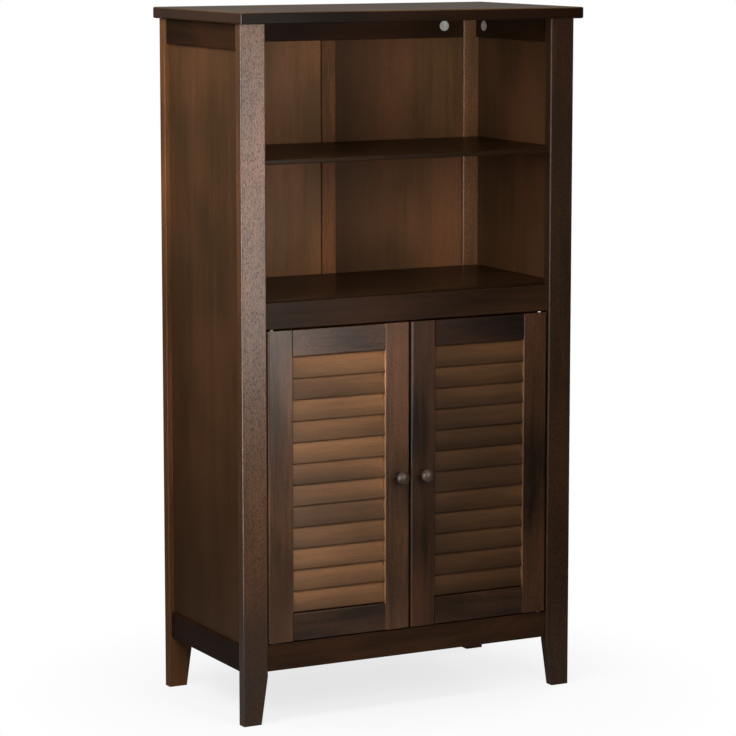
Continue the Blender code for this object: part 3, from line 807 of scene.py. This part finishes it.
class CABINET_OT_doors(bpy.types.Operator):
    """Stain and lacquer the doors' frames and their louvre slats"""

    bl_idname = "cabinet.doors"
    bl_label = "Finish the doors"

    def execute(self, context):
        stains = context.scene.cabinet_stains
        one, two = (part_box(node)[0].z for node in ("left_door_slat_01", "left_door_slat_02"))
        pitch = abs(two - one)
        first = min(one, two) % pitch
        for side, (tone, slat_tone, seed, film, frame_seat, slat_seat) in DOORS.items():
            # Paler stain on the sides of the stiles that face the slats, partly painted light
            pale = shade(stains.slat, slat_tone * INNER_SIDE_STAIN_AND_LIGHT_TONE)
            for number, part in enumerate(DOOR_FRAME):
                node = side + "_door_" + part
                upright = part.endswith("stile")
                board_tone_and_light = DOOR_TONES_AND_LIGHT.get(node, tone)
                parts = (self.inner_side(node, side, part, pale),) if upright else ()
                # Painted shade: the left hinge stile is darkened towards its foot
                if node in PAINTED_SHADE:
                    parts = (painted_shade_part(node, stains.frame, board_tone_and_light), *parts)
                wood = stained_wood(
                    wood_name(node), "door", stains.frame, "z" if upright else "x",
                    seat(frame_seat + number), board_tone_and_light, parts=parts, rest=film,
                )
                dress(node, wood)
            slats = stained_wood(
                wood_name(side + " door slats"), "slat", stains.slat, "x", seat(slat_seat), slat_tone,
                (pitch, first, seed), rest=film,
            )
            for node in sorted(frame["nodes"]):
                if node.startswith(side + "_door_slat"):
                    dress(node, slats)
        return {"FINISHED"}

    def inner_side(self, node, side, part, pale):
        """The side of a stile that faces the slats, with its pale stain and painted light, as stained_wood
        takes it.
        """
        low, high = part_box(node)
        start, end = INNER_SIDE_DEPTHS
        if (side == "left") == (part == "hinge_stile"):
            return "X", high.x - start, high.x - end, pale
        return "X", low.x + start, low.x + end, pale


# The knob wood's seat, the tone of its neck, darkened as painted shade under the head, how far out from
# the door the head's full stain starts and is complete, and the lacquer's share on the neck behind the head
KNOB_SEAT = 60
KNOB_NECK_SHADE_TONE = 0.3
KNOB_HEAD_START = 7 * MM
KNOB_HEAD_FULL = 10 * MM
KNOB_NECK_LACQUER = 0.04

# Half of the head's height as a share of the knob's length, how far from the tip its last ring stands, in
# radians, and how many rings and sides a knob has
HEAD_RISE_SHARE = 0.324
TIP_ANGLE = 0.05
NECK_RINGS = 12
HEAD_RINGS = 34
KNOB_SIDES = 64


def knob_profile(length, head, base, neck):
    """Radii and heights of a turned knob's rings, from the door out.

    The neck's radius is neck + (base - neck) * (1 - s) ** 2, with s from 0 at the door to 1 at the waist. The
    head is an ellipse that reaches the knob's length: its radius is head * sin(a) and its height is the
    ellipse's middle less half of its height * cos(a), with a from the waist to the tip.
    """
    rise = HEAD_RISE_SHARE * length
    middle = length - rise
    waist = math.asin(neck / head)
    neck_end = middle - rise * math.cos(waist)
    share = np.linspace(0, 1, NECK_RINGS, endpoint=False)
    swing = np.linspace(waist, math.pi - TIP_ANGLE, HEAD_RINGS)
    radii = np.concatenate([neck + (base - neck) * (1 - share) ** 2, head * np.sin(swing)])
    heights = np.concatenate([neck_end * share, middle - rise * np.cos(swing)])
    heights[-1] = length
    return radii, heights


class CABINET_OT_knobs(bpy.types.Operator):
    """Turn the two knobs finer than the CAD model's, on the same axis and with the same reach"""

    bl_idname = "cabinet.knobs"
    bl_label = "Turn the knobs"

    def execute(self, context):
        sizes = context.scene.cabinet_fittings
        stain = context.scene.cabinet_stains.knob
        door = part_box("left_door_knob")[1].y
        # The neck keeps the darker tone, a painted shade under the head; the head takes the full stain
        parts = (("Y", door - KNOB_HEAD_START, door - KNOB_HEAD_FULL, stain),)
        wood = stained_wood(
            wood_name("turned knobs"), "knob", stain, "y", seat(KNOB_SEAT), KNOB_NECK_SHADE_TONE,
            parts=parts, rest=KNOB_NECK_LACQUER,
        )
        for side in DOORS:
            low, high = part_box(side + "_door_knob")
            radii, heights = knob_profile(
                high.y - low.y, (high.x - low.x) / 2, sizes.knob_base, sizes.knob_neck
            )
            place = ((low.x + high.x) / 2, high.y, (low.z + high.z) / 2)
            knob = turned(side + "_turned_knob", radii, heights, place, "front", KNOB_SIDES)
            fit(knob, side + "_door", wood)
            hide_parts(side + "_door_knob")
        return {"FINISHED"}


# Round heads: the height and the dome, the recess's half width and reach as shares of the radius, and its
# depth
CAM_LOCK = {"height": 0.9 * MM, "dome": 0.15, "slot_half": 0.15, "slot_reach": 0.72, "slot_depth": 0.8 * MM}
CATCH_SCREW = {"height": 1.6 * MM, "dome": 0.5, "slot_half": 0.16, "slot_reach": 0.6, "slot_depth": 1.0 * MM}
KNOB_SCREW = {"height": 2.0 * MM, "dome": 0.5, "slot_half": 0.15, "slot_reach": 0.6, "slot_depth": 1.2 * MM}
KNOB_SCREW_RADIUS = 4.2 * MM

# Where the fittings sit: the cam locks from the cabinet's middle and from the side rail's back end, the
# catch's screws from the middle and under the catch's top, and the strike plates from the middle and over
# its underside
CAM_FROM_MIDDLE = 0.2145
CAM_FROM_RAIL_END = 0.026
CATCH_SCREW_FROM_MIDDLE = 0.014
CATCH_SCREW_DROP = 0.013
STRIKE_FROM_MIDDLE = 0.0125
STRIKE_RISE = 0.0072
STRIKE_HEIGHT = 11.5 * MM
STRIKE_THICKNESS = 0.8 * MM

# How rough the two metals are between their scratches
ZINC_ROUGHNESS = 0.46
STEEL_ROUGHNESS = 0.28


class CABINET_OT_fittings(bpy.types.Operator):
    """Add the cam locks, strike plates and screws, and finish the pins and the catch"""

    bl_idname = "cabinet.fittings"
    bl_label = "Fit the hardware"

    def execute(self, context):
        sizes = context.scene.cabinet_fittings
        zinc = brushed_metal("die-cast zinc cam locks", linear("f2f0ea"), ZINC_ROUGHNESS)
        steel = brushed_metal("nickel-plated steel", linear("a5a098"), STEEL_ROUGHNESS)
        plastic = moulded_plastic("dark brown ABS", linear("2b221d"))
        for side in DOORS:
            for end in ("top", "bottom"):
                dress(side + "_door_" + end + "_pin", steel)
        dress("door_catch", plastic)
        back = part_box("back_top_rail")
        for side, sign in (("left", -1), ("right", 1)):
            low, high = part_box(side + "_top_side_rail")
            height = (low.z + high.z) / 2
            inner, facing = (low.x, "left") if side == "right" else (high.x, "right")
            spots = (
                ("back", (sign * CAM_FROM_MIDDLE, back[0].y, height), "front"),
                ("side", (inner, high.y - CAM_FROM_RAIL_END, height), facing),
            )
            for part, place, way in spots:
                name = side + "_" + part + "_rail_cam_lock"
                cam = recessed_head(name, place, way, sizes.cam_radius, **CAM_LOCK)
                fit(cam, "cabinet", zinc)
            self.fit_door(side, sign, sizes, steel)
        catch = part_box("door_catch")
        for side, sign in (("left", -1), ("right", 1)):
            place = (sign * CATCH_SCREW_FROM_MIDDLE, catch[1].y, catch[1].z - CATCH_SCREW_DROP)
            screw = recessed_head(side + "_catch_screw", place, "back", sizes.screw_radius, **CATCH_SCREW)
            fit(screw, "cabinet", steel)
        return {"FINISHED"}

    def fit_door(self, side, sign, sizes, steel):
        """The strike plate and the knob's screw on the back of one door."""
        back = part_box(side + "_door_meeting_stile")[1].y
        low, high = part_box(side + "_door_knob")
        plate = rounded_plate(
            side + "_door_strike_plate",
            (sign * STRIKE_FROM_MIDDLE, back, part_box("door_catch")[0].z + STRIKE_RISE),
            "back",
            sizes.strike_width,
            STRIKE_HEIGHT,
            STRIKE_THICKNESS,
        )
        fit(plate, side + "_door", steel)
        place = ((low.x + high.x) / 2, back, (low.z + high.z) / 2)
        screw = recessed_head(side + "_knob_screw", place, "back", KNOB_SCREW_RADIUS, **KNOB_SCREW)
        fit(screw, side + "_door", steel)


# The lamps: place, the point each looks at, width and height, the setting that gives the power and its share,
# and what it lights. A gloss lamp only shows in the lacquer, and a matt one not at all. The gloss lamps end
# below the top board's level, because that board's face would mirror what reaches above it as a white notch.
LAMPS = {
    "front_softbox": ((0.06, -1.05, 0.84), (0, 0, 0.75), (0.42, 0.9), "front", 1.0, "matt"),
    "key_softbox": ((-1.03, -1.23, 1.05), (0, 0, 0.65), (0.7, 0.7), "key", 1.0, "matt"),
    "side_softbox": ((-1.20, -0.40, 1.5), (0, 0, 0.75), (0.7, 1.0), "side", 1.0, "matt"),
    "front_gloss": ((0.06, -1.05, 0.735), (0, 0, 0.735), (0.42, 0.69), "front", 0.77, "gloss"),
    "key_gloss": ((-1.03, -1.23, 0.89), (0, 0, 0.89), (0.7, 0.38), "key", 0.54, "gloss"),
    "overhead_softbox": ((-0.2, -0.2, 2.6), (0, 0, 1.0), (1.0, 1.0), "overhead", 1.0, "all"),
    "edge_strip": ((-1.35, -0.50, 0.515), (0, 0, 0.515), (0.5, 1.13), "edge", 1.0, "gloss"),
    "right_softbox": ((1.45, 0.35, 0.53), (0.3, 0, 0.53), (0.8, 1.0), "right", 1.0, "all"),
    "back_softbox": ((0.45, 1.75, 0.53), (0, 0.16, 0.53), (1.0, 1.0), "back", 1.0, "all"),
}

# The point that the camera looks at, the picture's shift as a share of its width, the width of the sensor
# that the lens is given for, in millimetres, and the nearest and furthest that the camera sees
CAMERA_TARGET = (-0.0002, 0.00275, 0.55645)
CAMERA_SHIFT = -0.0285
SENSOR_WIDTH = 36
CAMERA_LIMITS = (0.1, 50)

# The floor's half width, and how many squares it has each way
FLOOR_HALF = 6
FLOOR_SQUARES = 12

# How far from the cabinet's middle the shadow near the feet fades out, how much white it has where it is
# full, how far out the paper gives way to the dark floor, and that floor's tone
SHADOW_FADE = (0.12, 0.62)
SHADOW_WHITE = 0.75
PAPER_FADE = (0.3, 0.8)
DARK_FLOOR_TONE = 0.12

# How far the lacquer takes the paper for the dark floor
MIRRORED_DARKNESS = 0.8

# The surroundings: the light they give, what the lacquer shows of them behind the cabinet and on the camera's
# side, and between which headings the one gives way to the other
SOFT_LIGHT = 0.03
MIRRORED_BEHIND = 0.14
MIRRORED_IN_FRONT = 0.02
HEADING_FADE = (-0.1, 0.5)


def add_lamp(name, place, target, width, height, power):
    """A softbox: a rectangle of light that looks at a point and that the camera doesn't see."""
    lamp = bpy.data.lights.new(name, "AREA")
    lamp.shape = "RECTANGLE"
    lamp.size, lamp.size_y = width, height
    lamp.energy = power
    holder = bpy.data.objects.new(name, lamp)
    holder.location = place
    holder.rotation_mode = "QUATERNION"
    holder.rotation_quaternion = (Vector(target) - Vector(place)).to_track_quat("-Z", "Y")
    holder.visible_camera = False
    bpy.context.scene.collection.objects.link(holder)
    return holder


def background_share(tree, glossy):
    """1 for what the camera or clear glass shows, glossy for what a reflection shows, and 0 for the light
    that falls on things."""
    path = add_node(tree, "ShaderNodeLightPath")
    shown = add_node(
        tree,
        "ShaderNodeMath",
        {0: path.outputs["Is Camera Ray"], 1: path.outputs["Is Transmission Ray"]},
        operation="MAXIMUM",
    )
    mirrored = add_node(
        tree, "ShaderNodeMath", {0: path.outputs["Is Glossy Ray"], 1: glossy}, operation="MULTIPLY"
    )
    return add_node(
        tree, "ShaderNodeMath", {0: shown.outputs[0], 1: mirrored.outputs[0]}, operation="MAXIMUM"
    ).outputs[0]


def studio_floor(colour):
    """Pale matt studio paper on a dark studio floor.

    Seen by the camera it keeps the cabinet's soft shadow near the feet and fades to white further off. The
    light that falls on it comes back pale from the paper and dim from the dark floor round it, and the
    lacquer shows even the paper nearly as dim.
    """
    material, tree = new_material("pale studio paper")
    point = add_node(tree, "ShaderNodeTexCoord").outputs["Object"]
    reach = add_node(tree, "ShaderNodeVectorMath", {0: point}, operation="LENGTH").outputs["Value"]
    near, far = SHADOW_FADE
    glow = add_node(
        tree,
        "ShaderNodeMapRange",
        {"Value": reach, "From Min": near, "From Max": far, "To Min": SHADOW_WHITE, "To Max": 1.0},
        interpolation_type="SMOOTHSTEP",
    ).outputs[0]
    share = add_node(
        tree, "ShaderNodeMath", {0: glow, 1: background_share(tree, 0.0)}, operation="MULTIPLY"
    ).outputs[0]
    near, far = PAPER_FADE
    beyond = add_node(
        tree,
        "ShaderNodeMapRange",
        {"Value": reach, "From Min": near, "From Max": far},
        interpolation_type="SMOOTHSTEP",
    ).outputs[0]
    mirrored = add_node(tree, "ShaderNodeLightPath").outputs["Is Glossy Ray"]
    dimmed = add_node(
        tree, "ShaderNodeMath", {0: mirrored, 1: MIRRORED_DARKNESS}, operation="MULTIPLY"
    ).outputs[0]
    beyond = add_node(tree, "ShaderNodeMath", {0: beyond, 1: dimmed}, operation="MAXIMUM").outputs[0]
    ground = add_node(
        tree,
        "ShaderNodeMix",
        {"Factor": beyond, "A": shade(colour, 1), "B": shade(colour, DARK_FLOOR_TONE)},
        data_type="RGBA",
    )
    paper = add_node(tree, "ShaderNodeBsdfDiffuse", {"Color": ground.outputs["Result"]})
    white = add_node(tree, "ShaderNodeEmission", {"Color": (1, 1, 1, 1), "Strength": 1.0})
    both = add_node(tree, "ShaderNodeMixShader", {"Fac": share, 1: paper.outputs[0], 2: white.outputs[0]})
    return finish_material(material, both)


def white_surroundings():
    """A world that is white to the camera and lights things softly. The lacquer shows it grey behind the
    cabinet and nearly black on the camera's side, where the dark room is."""
    world = bpy.data.worlds.new("white surroundings")
    world.use_nodes = True
    tree = world.node_tree
    tree.nodes.clear()
    direction = add_node(tree, "ShaderNodeTexCoord").outputs["Generated"]
    heading = add_node(tree, "ShaderNodeSeparateXYZ", {"Vector": direction}).outputs["Y"]
    start, end = HEADING_FADE
    mirrored = add_node(
        tree,
        "ShaderNodeMapRange",
        {
            "Value": heading,
            "From Min": start,
            "From Max": end,
            "To Min": MIRRORED_IN_FRONT,
            "To Max": MIRRORED_BEHIND,
        },
    ).outputs[0]
    share = background_share(tree, mirrored)
    path = add_node(tree, "ShaderNodeLightPath")
    soft = add_node(
        tree, "ShaderNodeMath", {0: path.outputs["Is Diffuse Ray"], 1: SOFT_LIGHT}, operation="MULTIPLY"
    ).outputs[0]
    strength = add_node(tree, "ShaderNodeMath", {0: share, 1: soft}, operation="MAXIMUM").outputs[0]
    sky = add_node(tree, "ShaderNodeBackground", {"Color": (1, 1, 1, 1), "Strength": strength})
    add_node(tree, "ShaderNodeOutputWorld", {"Surface": sky.outputs[0]})
    return world


class CABINET_OT_studio(bpy.types.Operator):
    """Set up the floor, the lamps, the white surroundings and the camera"""

    bl_idname = "cabinet.studio"
    bl_label = "Set up the studio"

    def execute(self, context):
        scene = context.scene
        studio = scene.cabinet_studio
        self.lay_floor(scene, studio.floor)
        scene.world = white_surroundings()
        for name, (place, target, (width, height), setting, share, lights) in LAMPS.items():
            lamp = add_lamp(name, place, target, width, height, getattr(studio, setting) * share)
            lamp.visible_glossy = lights != "matt"
            lamp.visible_diffuse = lights != "gloss"
        self.place_camera(scene, studio)
        scene.view_settings.view_transform = "Standard"
        return {"FINISHED"}

    def lay_floor(self, scene, colour):
        """The floor: a flat grid of squares, point i, j of it at step i across and step j deep."""
        corners = FLOOR_SQUARES + 1
        steps = np.linspace(-FLOOR_HALF, FLOOR_HALF, corners)
        x, y = np.meshgrid(steps, steps, indexing="ij")
        points = np.stack([x, y, np.zeros_like(x)], axis=-1).reshape(-1, 3)
        i, j = np.meshgrid(np.arange(FLOOR_SQUARES), np.arange(FLOOR_SQUARES), indexing="ij")
        corner = i * corners + j
        faces = np.stack([corner, corner + corners, corner + corners + 1, corner + 1], axis=-1)
        mesh = bpy.data.meshes.new("studio_floor")
        mesh.from_pydata(points.tolist(), [], faces.reshape(-1, 4).tolist())
        floor = bpy.data.objects.new("studio_floor", mesh)
        mesh.materials.append(studio_floor(colour))
        scene.collection.objects.link(floor)

    def place_camera(self, scene, studio):
        """The camera, which looks at its target from the photograph's place."""
        data = bpy.data.cameras.new("photograph_camera")
        data.sensor_width = SENSOR_WIDTH
        data.lens = studio.lens
        data.shift_y = CAMERA_SHIFT
        data.clip_start, data.clip_end = CAMERA_LIMITS
        camera = bpy.data.objects.new("photograph_camera", data)
        level = math.cos(studio.elevation)
        look = Vector(
            (math.sin(studio.azimuth) * level, math.cos(studio.azimuth) * level, -math.sin(studio.elevation))
        )
        camera.location = Vector(CAMERA_TARGET) - look * studio.distance
        camera.rotation_mode = "QUATERNION"
        camera.rotation_quaternion = look.to_track_quat("-Z", "Y")
        scene.collection.objects.link(camera)
        scene.camera = camera


class CABINET_PT_sidebar(bpy.types.Panel):
    """Shows the settings that can be changed and the buttons of the cabinet's operators"""

    bl_idname = "CABINET_PT_sidebar"
    bl_label = "Bathroom cabinet"
    bl_space_type = "VIEW_3D"
    bl_region_type = "UI"
    bl_category = "Cabinet"

    def draw(self, context):
        scene = context.scene
        for group in (scene.cabinet_stains, scene.cabinet_fittings, scene.cabinet_studio):
            box = self.layout.box()
            for name in group.__annotations__:
                box.prop(group, name)
        for operator in OPERATORS:
            self.layout.operator(operator.bl_idname)


GROUPS = {
    "cabinet_stains": CabinetStains,
    "cabinet_fittings": CabinetFittings,
    "cabinet_studio": CabinetStudio,
}
OPERATORS = (
    CABINET_OT_carcass,
    CABINET_OT_doors,
    CABINET_OT_knobs,
    CABINET_OT_fittings,
    CABINET_OT_studio,
)
CLASSES = (*GROUPS.values(), *OPERATORS, CABINET_PT_sidebar)


def register():
    for item in CLASSES:
        bpy.utils.register_class(item)
    for name, group in GROUPS.items():
        setattr(bpy.types.Scene, name, PointerProperty(type=group))


def unregister():
    for name in GROUPS:
        delattr(bpy.types.Scene, name)
    for item in reversed(CLASSES):
        bpy.utils.unregister_class(item)


def main():
    """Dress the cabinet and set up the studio."""
    register()
    bpy.ops.cabinet.carcass()
    bpy.ops.cabinet.doors()
    bpy.ops.cabinet.knobs()
    bpy.ops.cabinet.fittings()
    bpy.ops.cabinet.studio()


if __name__ == "__main__":
    main()
